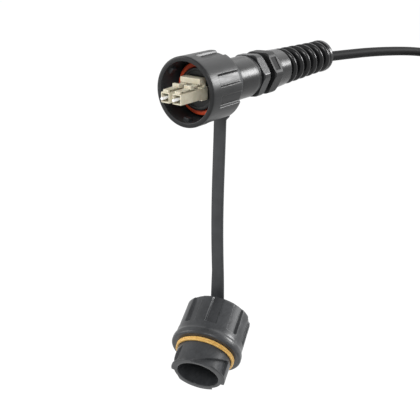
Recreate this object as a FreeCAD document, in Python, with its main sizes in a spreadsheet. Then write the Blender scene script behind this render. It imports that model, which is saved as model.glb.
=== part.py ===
# A sealed two-fibre patch cord: a bayonet plug with its dust cap on a strap, the cable and its far connectors.
# Millimetres and degrees. +Z is up, the plug's axis is Y and its front faces -Y.
# The origin is the centre of the coupling ring's front rim.

import FreeCAD, Part
import math
import os

import Sketcher
from FreeCAD import Placement, Rotation, Vector

document = FreeCAD.newDocument("sealed_patch_cord")

# Driving dimensions
DRIVING = {
    # Coupling ring
    "ring_bore_diameter": 26.6,
    "ring_wall": 1.95,
    "ring_length": 21.3,
    "ring_web_thickness": 4.8,
    "ring_edge": 0.7,
    "ring_grip_start": 5.8,
    "ring_grip_turn": 5.0,
    "lug_height": 1.3,
    "lug_length": 2.8,
    "lug_station": 4.3,
    "lug_arc": 13.0,
    "lug_turn": 22.0,
    # Grip recesses of the ring and the cap
    "grip_depth": 1.1,
    "grip_arc": 21.0,
    "grip_pair_arc": 35.0,
    # Clearances
    "running_clearance": 0.1,
    "seat_clearance": 0.05,
    "end_clearance": 0.3,
    "cut_margin": 1.0,
    # Plug body and its seals
    "face_seal_station": 10.0,
    "face_seal_thickness": 1.8,
    "face_seal_width": 2.2,
    "boss_diameter": 18.8,
    "boss_front": 8.5,
    "shoulder_gap": 0.6,
    "body_diameter": 19.2,
    "body_rear": 42.5,
    "body_edge": 0.4,
    "tether_groove_depth": 1.3,
    "tether_groove_rear": 28.0,
    "carrier_diameter": 15.8,
    "carrier_rear": 18.0,
    "cable_bore_diameter": 13.8,
    "retainer_thickness": 0.9,
    "retainer_width": 2.5,
    "retainer_gap_arc": 40.0,
    # Fibre connectors
    "connector_pitch": 6.25,
    "connector_height": -1.0,
    "connector_reach": 9.1,
    "housing_width": 4.5,
    "housing_length": 20.0,
    "housing_wall": 0.5,
    "housing_opening_depth": 7.0,
    "stop_wall": 1.0,
    "ferrule_diameter": 1.25,
    "ferrule_reach": 2.4,
    "ferrule_length": 11.9,
    "ferrule_tip_edge": 0.2,
    "ferrule_passage_diameter": 2.2,
    "flange_diameter": 3.2,
    "flange_length": 4.0,
    "flange_stem_diameter": 1.8,
    "flange_stem_length": 2.6,
    "spring_wire": 0.3,
    "spring_turns": 3.0,
    "spring_space": 5.0,
    "rear_post_flange_diameter": 4.2,
    "rear_post_flange": 1.5,
    "rear_post_stem_diameter": 3.0,
    "rear_post_stem": 4.5,
    "rear_post_bore_diameter": 1.2,
    "latch_width": 2.8,
    "latch_root": 1.3,
    "latch_root_height": 1.1,
    "latch_slot_length": 1.5,
    "latch_slot_roof": 0.45,
    "latch_rise": 2.1,
    "latch_lug_rise": 1.3,
    "latch_thickness": 0.9,
    "latch_reach": 13.4,
    "latch_lug_station": 7.0,
    "latch_lug_length": 2.3,
    "latch_lug_height": 1.7,
    # Duplex clip
    "clip_plate": 0.6,
    "clip_front": 5.0,
    "clip_rear": 8.8,
    "clip_web": 1.5,
    "trigger_front": 3.0,
    "trigger_depth": 3.2,
    "trigger_height": 2.2,
    "trigger_wall": 1.2,
    # Cable gland
    "gland_ring_width": 2.1,
    "hex_across_flats": 19.0,
    "hex_corner_rise": 1.0,
    "hex_edge": 0.5,
    "gland_hex_length": 5.0,
    "gland_hex_turn": 34.8,
    "gland_neck_diameter": 15.2,
    "gland_neck_length": 12.4,
    "gland_spigot_length": 9.0,
    "gland_passage_diameter": 9.0,
    "gland_socket_diameter": 11.4,
    "gland_socket_depth": 6.5,
    "gland_ring_wall": 1.9,
    "gland_ring_bore_diameter": 14.6,
    "bush_length": 7.4,
    "nut_gap": 3.9,
    "nut_hex_length": 6.5,
    "nut_hex_turn": 32.0,
    "nut_collar_diameter": 18.6,
    "nut_collar_length": 9.5,
    "nut_pocket_length": 3.6,
    "nut_pocket_width": 6.0,
    "nut_pocket_depth": 0.35,
    "thread_clearance": 0.15,
    "relief_start_diameter": 17.4,
    "relief_end_diameter": 15.4,
    "relief_length": 36.5,
    "relief_bead_length": 3.0,
    "relief_bead_rise": 0.2,
    "relief_groove_width": 2.7,
    "relief_groove_flare": 0.3,
    "relief_groove_pitch": 6.2,
    "relief_core_diameter": 9.0,
    "relief_bore_diameter": 5.8,
    "relief_mouth_diameter": 7.2,
    "relief_mouth_length": 8.0,
    # Dust cap
    "cap_length": 34.2,
    "cap_bore_diameter": 19.6,
    "cap_bore_depth": 30.0,
    "cap_nose_wall": 3.1,
    "cap_shoulder": 12.2,
    "cap_rim_diameter": 33.7,
    "cap_rim_width": 3.0,
    "cap_grip_diameter": 32.2,
    "cap_end_diameter": 31.4,
    "cap_edge": 1.3,
    "cap_rim_edge": 0.6,
    "cap_grip_start": 19.5,
    "cap_grip_turn": 38.5,
    "cap_seal_thickness": 2.0,
    "cap_seal_width": 1.1,
    "track_depth": 1.5,
    "track_width": 3.9,
    "track_climb": 8.4,
    "track_arc": 86.0,
    "track_turn": 94.0,
    "track_lip": 0.9,
    "cap_pitch": 32.4,
    "cap_yaw": 17.2,
    # Strap and rivet
    "strap_width": 6.4,
    "strap_thickness": 1.4,
    "strap_drop": 111.9,
    "strap_foot_station": 24.8,
    "strap_bend_reach": 6.0,
    "strap_twist_length": 14.0,
    "collar_wall": 2.4,
    "eyelet_diameter": 10.0,
    "rivet_diameter": 3.0,
    "rivet_head_diameter": 6.0,
    "rivet_head_thickness": 1.2,
    # Cable
    "cable_diameter": 5.0,
    "coil_diameter": 56.0,
    "coil_strand_pitch": 5.1,
    "coil_whole_turns": 4.0,
    "coil_slack": 0.15,
    "tie_arc": 16.0,
    "tie_thickness": 1.2,
    "lead_diameter": 0.9,
    "lead_socket": 2.0,
    "lead_straight": 8.0,
    # Far boot
    "tail_socket": 2.0,
    "far_boot_gap": 1.0,
    "far_boot_length": 22.0,
    "far_boot_start_diameter": 8.4,
    "far_boot_end_diameter": 6.6,
    "far_shell_front": 14.0,
    "far_shell_length": 12.0,
    "far_shell_wall": 0.8,
}
RING_LUG_COUNT = 3
RING_GRIP_PAIR_COUNT = 4
CAP_GRIP_COUNT = 9
CAP_TRACK_COUNT = 3
CONNECTOR_SIDES = {"left": -1, "right": 1}
CORNER_PER_FLAT = 1 / math.cos(math.radians(30))

# The cable from inside the gland to the top of its coil, points chosen by hand
CABLE_ROUTE = [
    Vector(0, 56, 0),
    Vector(0, 110, 0),
    Vector(0, 165, -5.4),
    Vector(0, 212, -12),
    Vector(0, 244, -18.6),
    Vector(0, 270, -26.8),
]

sheet = document.addObject("Spreadsheet::Sheet", "sizes")
for row, (alias, number) in enumerate(DRIVING.items(), start=1):
    sheet.set(f"A{row}", alias.replace("_", " "))
    sheet.set(f"B{row}", str(number))
    sheet.setAlias(f"B{row}", alias)
document.recompute()


class Size:
    """A number together with the sheet expression that gives it."""

    def __init__(self, value, text):
        self.value = value
        self.text = text

    def __add__(self, other):
        other = as_size(other)
        return Size(self.value + other.value, f"({self.text} + {other.text})")

    def __radd__(self, other):
        return as_size(other) + self

    def __sub__(self, other):
        other = as_size(other)
        return Size(self.value - other.value, f"({self.text} - {other.text})")

    def __rsub__(self, other):
        return as_size(other) - self

    def __mul__(self, other):
        other = as_size(other)
        return Size(self.value * other.value, f"({self.text} * {other.text})")

    def __rmul__(self, other):
        return as_size(other) * self

    def __truediv__(self, other):
        other = as_size(other)
        return Size(self.value / other.value, f"({self.text} / {other.text})")

    def __neg__(self):
        return Size(-self.value, f"(0 - {self.text})")


def as_size(number):
    return number if isinstance(number, Size) else Size(float(number), f"({float(number)!r})")


def size(alias):
    return Size(float(sheet.get(alias)), f"sizes.{alias}")


def bind(item, path, amount):
    item.setExpression(path, as_size(amount).text)


# Sketches and features

def new_body(name):
    return document.addObject("PartDesign::Body", name)


def new_sketch(body, name, plane, turn=None):
    sketch = body.newObject("Sketcher::SketchObject", name)
    support = next(feature for feature in body.Origin.OriginFeatures if feature.Role == plane)
    sketch.AttachmentSupport = [(support, "")]
    sketch.MapMode = "FlatFace"
    if turn is not None:
        sketch.AttachmentOffset = Placement(Vector(), Rotation(Vector(0, 1, 0), as_size(turn).value))
    return sketch


def place_point(sketch, line, amounts):
    """Fix the first point of a line at a distance from each sketch axis."""
    for kind, axis, amount in zip(("DistanceX", "DistanceY"), (-2, -1), amounts):
        amount = as_size(amount)
        if abs(amount.value) < 1e-9:
            sketch.addConstraint(Sketcher.Constraint("PointOnObject", line, 1, axis))
        else:
            number = sketch.addConstraint(Sketcher.Constraint(kind, -1, 1, line, 1, amount.value))
            bind(sketch, f"Constraints[{number}]", amount)


def outline(body, name, points, plane="XY_Plane", turn=None):
    """A closed outline of straight lines, every corner tied to the sheet."""
    sketch = new_sketch(body, name, plane, turn)
    places = [Vector(as_size(across).value, as_size(along).value, 0) for across, along in points]
    count = len(places)
    for line in range(count):
        sketch.addGeometry(Part.LineSegment(places[line], places[(line + 1) % count]))
    for line in range(count):
        sketch.addConstraint(Sketcher.Constraint("Coincident", line, 2, (line + 1) % count, 1))
    for line, point in enumerate(points):
        place_point(sketch, line, point)
    return sketch


def rectangle(across, along):
    return [(across[0], along[0]), (across[1], along[0]), (across[1], along[1]), (across[0], along[1])]


def turn_about_y(body, kind, name, points, arc=None, turn=None):
    """Revolve an outline of (radius, station) points about Y, all the way round or over one arc."""
    sketch = outline(body, name + "_section", points, turn=turn)
    feature = body.newObject(kind, name)
    feature.Profile = sketch
    feature.ReferenceAxis = (sketch, ["V_Axis"])
    feature.Angle = 360
    if arc is not None:
        feature.Midplane = True
        bind(feature, "Angle", arc)
    document.recompute()
    return feature


def turned(name, points):
    body = new_body(name)
    turn_about_y(body, "PartDesign::Revolution", name + "_turned", points)
    return body


def helix(body, kind, name, points, pitch, height, turn=None, cone=0):
    sketch = outline(body, name + "_section", points, turn=turn)
    feature = body.newObject(kind, name)
    feature.Profile = sketch
    feature.ReferenceAxis = (sketch, ["V_Axis"])
    feature.Mode = "pitch-height-angle"
    feature.Angle = cone
    bind(feature, "Pitch", pitch)
    bind(feature, "Height", height)
    document.recompute()
    return feature


def around_y(body, name, features, count):
    pattern = body.newObject("PartDesign::PolarPattern", name)
    pattern.Originals = features
    pattern.Axis = (features[0].Profile[0], ["V_Axis"])
    pattern.Angle = 360
    pattern.Occurrences = count
    body.Tip = pattern
    document.recompute()
    return pattern


def pad_across(body, name, points, width):
    """Pad a side outline of (station, height) points to both sides of the middle plane."""
    sketch = outline(body, name + "_side", points, plane="YZ_Plane")
    feature = body.newObject("PartDesign::Pad", name)
    feature.Profile = sketch
    feature.Midplane = True
    bind(feature, "Length", width)
    document.recompute()
    return feature


def pocket_from_front(body, name, points, depth):
    """Cut an outline of (side, height) points into the front face, towards +Y."""
    sketch = outline(body, name + "_front", points, plane="XZ_Plane")
    feature = body.newObject("PartDesign::Pocket", name)
    feature.Profile = sketch
    bind(feature, "Length", depth)
    document.recompute()
    return feature


# Primitives and booleans

def block(name, x, y, z, turn=0):
    """A box between (low, high) pairs along the three axes, then turned about Y from +X towards +Z."""
    turn = as_size(turn)
    cosine = Size(math.cos(math.radians(turn.value)), f"cos({turn.text} * 1 deg)")
    sine = Size(math.sin(math.radians(turn.value)), f"sin({turn.text} * 1 deg)")
    box = document.addObject("Part::Box", name)
    box.Placement = Placement(Vector(), Rotation(Vector(0, 1, 0), -turn.value))
    for side, (low, high) in zip(("Length", "Width", "Height"), (x, y, z)):
        bind(box, side, as_size(high) - low)
    low_x = as_size(x[0])
    low_z = as_size(z[0])
    corner = (low_x * cosine - low_z * sine, y[0], low_x * sine + low_z * cosine)
    for axis, amount in zip("xyz", corner):
        bind(box, "Placement.Base." + axis, amount)
    return box


def rod(name, radius, y, x=0, z=0):
    """A cylinder along Y between two stations."""
    cylinder = document.addObject("Part::Cylinder", name)
    cylinder.Placement = Placement(Vector(), Rotation(Vector(1, 0, 0), -90))
    bind(cylinder, "Radius", radius)
    bind(cylinder, "Height", as_size(y[1]) - y[0])
    for axis, amount in zip("xyz", (x, y[0], z)):
        bind(cylinder, "Placement.Base." + axis, amount)
    return cylinder


def hex_prism(name, flats, y, turn):
    """A six-sided bar along Y whose first flat faces the given turn from +X."""
    prism = document.addObject("Part::Prism", name)
    prism.Polygon = 6
    stand = Rotation(Vector(1, 0, 0), -90)
    face = Rotation(Vector(0, 1, 0), -turn.value + 30)
    prism.Placement = Placement(Vector(), face.multiply(stand))
    bind(prism, "Circumradius", flats / 2 * CORNER_PER_FLAT)
    bind(prism, "Height", as_size(y[1]) - y[0])
    bind(prism, "Placement.Base.y", y[0])
    return prism


def joined(name, pieces):
    whole = document.addObject("Part::MultiFuse", name)
    whole.Shapes = pieces
    return whole


def less(name, base, tools):
    cutter = tools[0] if len(tools) == 1 else joined(name + "_cuts", tools)
    piece = document.addObject("Part::Cut", name)
    piece.Base = base
    piece.Tool = cutter
    return piece


def shared(name, base, tool):
    piece = document.addObject("Part::Common", name)
    piece.Base = base
    piece.Tool = tool
    return piece


def shaped(name, shape):
    piece = document.addObject("Part::Feature", name)
    piece.Shape = shape
    return piece


nodes = {}


def node(label, piece, place=None):
    """Give a finished piece its name, and its place if it was drawn in a frame of its own."""
    piece.Label = label
    if place is not None:
        piece.Placement = place
    nodes[label] = piece
    return piece


# Shared sizes
ring_bore_radius = size("ring_bore_diameter") / 2
ring_radius = ring_bore_radius + size("ring_wall")
ring_length = size("ring_length")
ring_web_front = ring_length - size("ring_web_thickness")
body_radius = size("body_diameter") / 2
body_rear = size("body_rear")
tether_groove_radius = body_radius - size("tether_groove_depth")
end_clearance = size("end_clearance")
seat_clearance = size("seat_clearance")
running_clearance = size("running_clearance")
margin = size("cut_margin")
retainer_front = ring_length + end_clearance
retainer_rear = retainer_front + size("retainer_thickness")
shoulder_front = size("face_seal_station") + size("face_seal_thickness")
shoulder_rear = ring_web_front - end_clearance
boss_radius = size("boss_diameter") / 2
carrier_radius = size("carrier_diameter") / 2
cable_radius = size("cable_diameter") / 2
grip_depth = size("grip_depth")


def grip_recesses(body, floor, start, beyond, turns, count):
    """Recesses at the given turns, open to the rear, repeated round a grip."""
    section = rectangle((floor, floor + 4 * grip_depth), (start, beyond))
    first = []
    for number, turn in enumerate(turns, start=1):
        name = f"{body.Name}_recess_{number}"
        first.append(turn_about_y(body, "PartDesign::Groove", name, section, size("grip_arc"), -turn))
    around_y(body, body.Name + "_recesses", first, count)


def coupling_ring():
    edge = size("ring_edge")
    bearing = body_radius + running_clearance
    body = turned("coupling_ring", [
        (ring_bore_radius, 0),
        (ring_radius - edge, 0),
        (ring_radius, edge),
        (ring_radius, ring_length - 2 * edge),
        (ring_radius - edge, ring_length),
        (bearing, ring_length),
        (bearing, ring_web_front),
        (ring_bore_radius, ring_web_front),
    ])
    half_length = size("lug_length") / 2
    station = size("lug_station")
    inside = ring_bore_radius - size("lug_height")
    root = (ring_bore_radius + ring_radius) / 2
    section = rectangle((inside, root), (station - half_length, station + half_length))
    lug = turn_about_y(body, "PartDesign::Revolution", "ring_lug", section, size("lug_arc"), -size("lug_turn"))
    around_y(body, "ring_lugs", [lug], RING_LUG_COUNT)
    half_pair = size("grip_pair_arc") / 2
    turns = [size("ring_grip_turn") - half_pair, size("ring_grip_turn") + half_pair]
    grip_recesses(body, ring_radius - grip_depth, size("ring_grip_start"), ring_length + margin, turns,
                  RING_GRIP_PAIR_COUNT)
    node("coupling_ring", body)


def plug_body():
    edge = size("body_edge")
    shoulder = ring_bore_radius - size("shoulder_gap")
    cable_bore = size("cable_bore_diameter") / 2
    pocket = carrier_radius + seat_clearance
    groove_rear = size("tether_groove_rear")
    body = turned("plug_body", [
        (pocket, size("boss_front")),
        (boss_radius - edge, size("boss_front")),
        (boss_radius, size("boss_front") + edge),
        (boss_radius, shoulder_front),
        (shoulder, shoulder_front),
        (shoulder, shoulder_rear),
        (body_radius, shoulder_rear),
        (body_radius, retainer_front),
        (tether_groove_radius, retainer_front),
        (tether_groove_radius, groove_rear),
        (body_radius - edge, groove_rear),
        (body_radius, groove_rear + edge),
        (body_radius, body_rear - edge),
        (body_radius - edge, body_rear),
        (cable_bore, body_rear),
        (cable_bore, size("carrier_rear")),
        (pocket, size("carrier_rear")),
    ])
    node("plug_body", body)

    inner = boss_radius + seat_clearance
    seal = turned("face_seal", rectangle(
        (inner, inner + size("face_seal_width")), (size("face_seal_station"), shoulder_front)))
    node("face_seal", seal)

    inner = tether_groove_radius + seat_clearance
    retainer = turned("ring_retainer", rectangle(
        (inner, inner + size("retainer_width")), (retainer_front, retainer_rear)))
    gap = rectangle((inner / 2, 2 * inner), (retainer_front - margin, retainer_rear + margin))
    turn_about_y(retainer, "PartDesign::Groove", "retainer_gap", gap, size("retainer_gap_arc"), -90)
    node("ring_retainer", retainer)


# Fibre connector, drawn with its front at y = 0 and its axis on Y

housing_half = size("housing_width") / 2
housing_length = size("housing_length")
flange_seat = size("housing_opening_depth") + size("stop_wall")
bore_radius = size("flange_diameter") / 2 + running_clearance
flange_rear = flange_seat + size("flange_length")
rear_post_front = flange_rear + size("spring_space")
rear_post_rear = housing_length + size("rear_post_flange") + size("rear_post_stem")


def connector_housing(name):
    body = new_body(name)
    pad_across(body, name + "_shell", rectangle((0, housing_length), (-housing_half, housing_half)),
               size("housing_width"))
    foot = housing_half - seat_clearance
    root = size("latch_root")
    root_top = housing_half + size("latch_root_height")
    arm_low = housing_half + size("latch_lug_rise")
    arm_top = housing_half + size("latch_rise")
    thickness = size("latch_thickness")
    lug_front = size("latch_lug_station")
    reach = size("latch_reach")
    chamfer = thickness / 3
    slot_front = root + chamfer
    slot_rear = slot_front + size("latch_slot_length")
    slot_roof = root_top - size("latch_slot_roof")
    pad_across(body, name + "_latch", [
        (chamfer, foot),
        (chamfer, root_top - chamfer),
        (2 * chamfer, root_top),
        (root, root_top),
        (lug_front, arm_low),
        (reach, arm_top),
        (reach, arm_top - thickness),
        (lug_front, arm_low - thickness),
        (slot_rear, root_top - thickness),
        (slot_rear, slot_roof),
        (slot_front, slot_roof),
        (slot_front, foot),
    ], size("latch_width"))
    lug_bottom = arm_low - thickness / 2
    lug_top = lug_bottom + size("latch_lug_height")
    lug_rear = lug_front + size("latch_lug_length")
    pad_across(body, name + "_latch_lugs", [
        (lug_front, lug_bottom),
        (lug_front, lug_top),
        (lug_rear - thickness, lug_top),
        (lug_rear, lug_bottom + thickness),
        (lug_rear, lug_bottom),
    ], size("housing_width"))
    opening = housing_half - size("housing_wall")
    pocket_from_front(body, name + "_opening", rectangle((-opening, opening), (-opening, opening)),
                      size("housing_opening_depth"))
    passage = rectangle((0, size("ferrule_passage_diameter") / 2), (0, flange_seat))
    turn_about_y(body, "PartDesign::Groove", name + "_passage", passage)
    bore = rectangle((0, bore_radius), (flange_seat, housing_length))
    turn_about_y(body, "PartDesign::Groove", name + "_bore", bore)
    return body


def ferrule(name):
    radius = size("ferrule_diameter") / 2
    tip = -size("ferrule_reach")
    edge = size("ferrule_tip_edge")
    return turned(name, [
        (0, tip),
        (radius - edge, tip),
        (radius, tip + edge),
        (radius, tip + size("ferrule_length")),
        (0, tip + size("ferrule_length")),
    ])


def ferrule_flange(name):
    socket = size("ferrule_diameter") / 2
    socket_floor = size("ferrule_length") - size("ferrule_reach")
    stem = size("flange_stem_diameter") / 2
    stem_rear = flange_rear + size("flange_stem_length")
    return turned(name, [
        (socket, flange_seat),
        (size("flange_diameter") / 2, flange_seat),
        (size("flange_diameter") / 2, flange_rear),
        (stem, flange_rear),
        (stem, stem_rear),
        (0, stem_rear),
        (0, socket_floor),
        (socket, socket_floor),
    ])


def ferrule_spring(name):
    wire = size("spring_wire")
    inner = size("flange_stem_diameter") / 2 + running_clearance
    first = flange_rear + seat_clearance
    run = size("spring_space") - 2 * seat_clearance - wire
    body = new_body(name)
    helix(body, "PartDesign::AdditiveHelix", name + "_wire", rectangle((inner, inner + wire), (first, first + wire)),
          run / size("spring_turns"), run)
    return body


def rear_post(name):
    bore = size("rear_post_bore_diameter") / 2
    flange = size("rear_post_flange_diameter") / 2
    flange_end = housing_length + size("rear_post_flange")
    return turned(name, [
        (bore, rear_post_front),
        (bore_radius - seat_clearance, rear_post_front),
        (bore_radius - seat_clearance, housing_length),
        (flange, housing_length),
        (flange, flange_end),
        (size("rear_post_stem_diameter") / 2, flange_end),
        (size("rear_post_stem_diameter") / 2, rear_post_rear),
        (bore, rear_post_rear),
    ])


def connector_pair(prefix, place):
    """Two connectors side by side, moved from their own frame to the given place."""
    half_pitch = size("connector_pitch").value / 2
    makers = {
        "lc_housing": connector_housing,
        "ferrule": ferrule,
        "ferrule_flange": ferrule_flange,
        "ferrule_spring": ferrule_spring,
        "rear_post": rear_post,
    }
    for side, sign in CONNECTOR_SIDES.items():
        own_place = place.multiply(Placement(Vector(sign * half_pitch, 0, 0), Rotation()))
        for word, maker in makers.items():
            label = f"{prefix}{word}_{side}"
            node(label, maker(label), own_place)


def duplex_clip(name):
    """One moulding that ties two connectors together, with the trigger over both latches."""
    half_width = size("connector_pitch") / 2 + housing_half
    reach = size("connector_reach")
    plate = size("clip_plate")
    long = (size("clip_front") + reach, size("clip_rear") + reach)
    top = housing_half + seat_clearance
    wide = (-half_width, half_width)
    trigger_bottom = housing_half + size("latch_rise") + end_clearance
    trigger_top = trigger_bottom + size("trigger_height")
    trigger_front = size("trigger_front") + reach
    trigger_rear = trigger_front + size("trigger_depth")
    wall_rear = trigger_rear + size("trigger_wall")
    half_web = size("clip_web") / 2
    return joined(name, [
        block(name + "_trigger", wide, (trigger_front, wall_rear), (trigger_bottom, trigger_top)),
        block(name + "_wall", wide, (trigger_rear, wall_rear), (top, trigger_top)),
        block(name + "_top", wide, long, (top, top + plate)),
        block(name + "_web", (-half_web, half_web), long, (-top - plate, top + plate)),
        block(name + "_bottom", wide, long, (-top - plate, -top)),
    ])


near_front = -size("connector_reach")
near_place = Placement(Vector(0, near_front.value, size("connector_height").value), Rotation())


def near_connectors():
    connector_pair("", near_place)
    node("duplex_clip", duplex_clip("duplex_clip"), near_place)

    front = size("clip_rear") + running_clearance
    rear = size("carrier_rear")
    height = size("connector_height")
    half_pitch = size("connector_pitch") / 2
    window = housing_half + seat_clearance
    housing_rear = near_front + housing_length
    hole = size("rear_post_flange_diameter") / 2 + running_clearance
    cuts = []
    for side, sign in CONNECTOR_SIDES.items():
        middle = half_pitch * sign
        cuts.append(block(f"carrier_window_{side}", (middle - window, middle + window),
                          (front - margin, housing_rear), (height - window, height + window)))
        cuts.append(rod(f"carrier_hole_{side}", hole, (housing_rear - margin, rear + margin), middle, height))
    drum = rod("carrier_drum", carrier_radius, (front, rear))
    node("connector_carrier", less("connector_carrier", drum, cuts))


# Cable gland behind the body

gland_hex_front = body_rear + size("gland_ring_width")
gland_hex_rear = gland_hex_front + size("gland_hex_length")
gland_neck_rear = gland_hex_rear + size("gland_neck_length")
socket_floor = gland_neck_rear - size("gland_socket_depth")
nut_front = gland_hex_rear + size("nut_gap")
nut_hex_rear = nut_front + size("nut_hex_length")
relief_start = nut_hex_rear + size("nut_collar_length")
bead_front = relief_start + size("relief_length")
relief_end = bead_front + size("relief_bead_length")


def hex_section(front, rear):
    """Corners of a six-sided zone before its flats are cut: both ends eased."""
    corner = size("hex_across_flats") / 2 + size("hex_corner_rise")
    edge = size("hex_edge")
    return [(corner - edge, front), (corner, front + edge), (corner, rear - edge), (corner - edge, rear)]


def gland_body():
    passage = size("gland_passage_diameter") / 2
    spigot = size("cable_bore_diameter") / 2 - seat_clearance
    neck = size("gland_neck_diameter") / 2
    socket = size("gland_socket_diameter") / 2
    ring_seat = size("gland_ring_bore_diameter") / 2 - seat_clearance
    front = body_rear - size("gland_spigot_length")
    blank = turned("gland_body_blank", [
        (passage, front),
        (spigot, front),
        (spigot, body_rear),
        (ring_seat, body_rear),
        (ring_seat, gland_hex_front),
        *hex_section(gland_hex_front, gland_hex_rear),
        (neck, gland_hex_rear),
        (neck, gland_neck_rear),
        (socket, gland_neck_rear),
        (socket, socket_floor),
        (passage, socket_floor),
    ])
    flats = hex_prism("gland_flats", size("hex_across_flats"), (front - margin, gland_neck_rear + margin),
                      size("gland_hex_turn"))
    node("gland_body", shared("gland_body", blank, flats))

    inner = size("gland_ring_bore_diameter") / 2
    outer = inner + size("gland_ring_wall")
    front = body_rear + seat_clearance
    rear = gland_hex_front - seat_clearance
    ease = (rear - front) / 4
    ring = turned("gland_ring", [
        (inner + ease, front),
        (outer - ease, front),
        (outer, front + ease),
        (outer, rear - ease),
        (outer - ease, rear),
        (inner + ease, rear),
        (inner, rear - ease),
        (inner, front + ease),
    ])
    node("gland_ring", ring)

    hold = cable_radius + seat_clearance
    outside = socket - seat_clearance
    front = socket_floor + seat_clearance
    rear = front + size("bush_length")
    slope = (outside - hold) / 2
    bush = turned("gland_bush", [
        (hold, front),
        (outside, front),
        (outside, rear - slope),
        (outside - slope, rear),
        (hold, rear),
    ])
    node("gland_bush", bush)


def gland_nut():
    """Six-sided nut, smooth collar and spiral bend relief in one moulding."""
    thread = size("gland_neck_diameter") / 2 + size("thread_clearance")
    thread_rear = gland_neck_rear + size("bush_length") - size("gland_socket_depth") + end_clearance
    bore = size("relief_bore_diameter") / 2
    mouth = size("relief_mouth_diameter") / 2
    throat = size("gland_socket_diameter") / 2
    collar = size("nut_collar_diameter") / 2
    first = size("relief_start_diameter") / 2
    last = size("relief_end_diameter") / 2
    bead = last + size("relief_bead_rise")
    edge = size("hex_edge")
    blank = turned("gland_nut_blank", [
        (thread, nut_front),
        *hex_section(nut_front, nut_hex_rear),
        (collar, nut_hex_rear + edge),
        (first, relief_start),
        (last, bead_front),
        (bead, bead_front + edge),
        (bead, relief_end - edge),
        (bead - edge, relief_end),
        (mouth, relief_end),
        (bore, relief_end - size("relief_mouth_length")),
        (bore, thread_rear + throat - bore),
        (throat, thread_rear),
        (thread, thread_rear),
    ])
    core = size("relief_core_diameter") / 2
    width = size("relief_groove_width")
    pitch = size("relief_groove_pitch")
    outside = first + margin
    flare = size("relief_groove_flare")
    section = [
        (core, relief_start + flare),
        (outside, relief_start - flare),
        (outside, relief_start + width + flare),
        (core, relief_start + width - flare),
    ]
    helix(blank, "PartDesign::SubtractiveHelix", "relief_groove", section, pitch,
          size("relief_length") - width - edge)
    flats = hex_prism("nut_flats", size("hex_across_flats"), (nut_front - margin, relief_end + margin), size("nut_hex_turn"))
    bar = shared("gland_nut_bar", blank, flats)

    floor = size("hex_across_flats") / 2 - size("nut_pocket_depth")
    middle = nut_front + size("nut_hex_length") / 2
    half_length = size("nut_pocket_length") / 2
    half_width = size("nut_pocket_width") / 2
    recess = block("nut_pocket", (floor, floor + margin), (middle - half_length, middle + half_length),
                   (-half_width, half_width), size("nut_hex_turn"))
    node("gland_nut", less("gland_nut", bar, [recess]))


# Dust cap, drawn with its nose at y = 0 and its closed end at y = cap_length

cap_length = size("cap_length")
strap_thickness = size("strap_thickness")
cap_turn = Rotation(Vector(0, 0, 1), size("cap_yaw").value).multiply(
    Rotation(Vector(1, 0, 0), size("cap_pitch").value))
cap_back = cap_turn.multVec(Vector(0, 1, 0))
cap_up = cap_turn.multVec(Vector(0, 0, 1))
cap_side = cap_turn.multVec(Vector(1, 0, 0))
strap_foot = Vector(0, size("strap_foot_station").value, -size("strap_drop").value)
cap_place = Placement(strap_foot - cap_back * cap_length.value, cap_turn)


def cap_tracks(body, nose):
    """Tracks for the ring's lugs: each is open at the front, then climbs round the nose behind a thin lip."""
    across = (nose - size("track_depth"), nose + margin)
    climb = size("track_climb")
    arc = size("track_arc")
    width = size("track_width")
    turn = size("track_turn")
    slope = helix(body, "PartDesign::SubtractiveHelix", "cap_track", rectangle(across, (-width, 0)),
                  climb * 360 / arc, climb, -turn)
    run_rear = climb - width + running_clearance
    run_arc = arc * (1 - run_rear / climb)
    run = turn_about_y(body, "PartDesign::Groove", "cap_track_run", rectangle(across, (size("track_lip"), run_rear)),
                       run_arc, arc - turn - run_arc / 2)
    around_y(body, "cap_tracks", [slope, run], CAP_TRACK_COUNT)


def dust_cap():
    bore = size("cap_bore_diameter") / 2
    depth = size("cap_bore_depth")
    nose = bore + size("cap_nose_wall")
    shoulder = size("cap_shoulder")
    rim = size("cap_rim_diameter") / 2
    rim_edge = size("cap_rim_edge")
    grip = size("cap_grip_diameter") / 2
    last = size("cap_end_diameter") / 2
    edge = size("cap_edge")
    rivet_hole = size("rivet_diameter") / 2 + seat_clearance
    rim_rear = shoulder + size("cap_rim_width")
    body = turned("dust_cap", [
        (bore, 0),
        (nose - edge / 3, 0),
        (nose, edge / 3),
        (nose, shoulder),
        (rim - rim_edge, shoulder),
        (rim, shoulder + rim_edge),
        (rim, rim_rear),
        (grip, rim_rear + edge),
        (last, cap_length - edge),
        (last - edge, cap_length),
        (rivet_hole, cap_length),
        (rivet_hole, depth),
        (bore, depth),
    ])
    cap_tracks(body, nose)
    grip_recesses(body, last - grip_depth, size("cap_grip_start"), cap_length + margin, [size("cap_grip_turn")],
                  CAP_GRIP_COUNT)
    node("dust_cap", body, cap_place)

    inner = nose + seat_clearance
    seal = turned("cap_seal", rectangle(
        (inner, inner + size("cap_seal_width")), (shoulder - size("cap_seal_thickness"), shoulder)))
    node("cap_seal", seal, cap_place)

    shank = size("rivet_diameter") / 2
    head = size("rivet_head_diameter") / 2
    head_thickness = size("rivet_head_thickness")
    head_seat = cap_length + 2 * running_clearance + strap_thickness
    rivet = turned("cap_rivet", [
        (0, depth - head_thickness),
        (head, depth - head_thickness),
        (head, depth),
        (shank, depth),
        (shank, head_seat),
        (head, head_seat),
        (head, head_seat + head_thickness / 2),
        (head - head_thickness / 2, head_seat + head_thickness),
        (0, head_seat + head_thickness),
    ])
    node("cap_rivet", rivet, cap_place)


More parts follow.
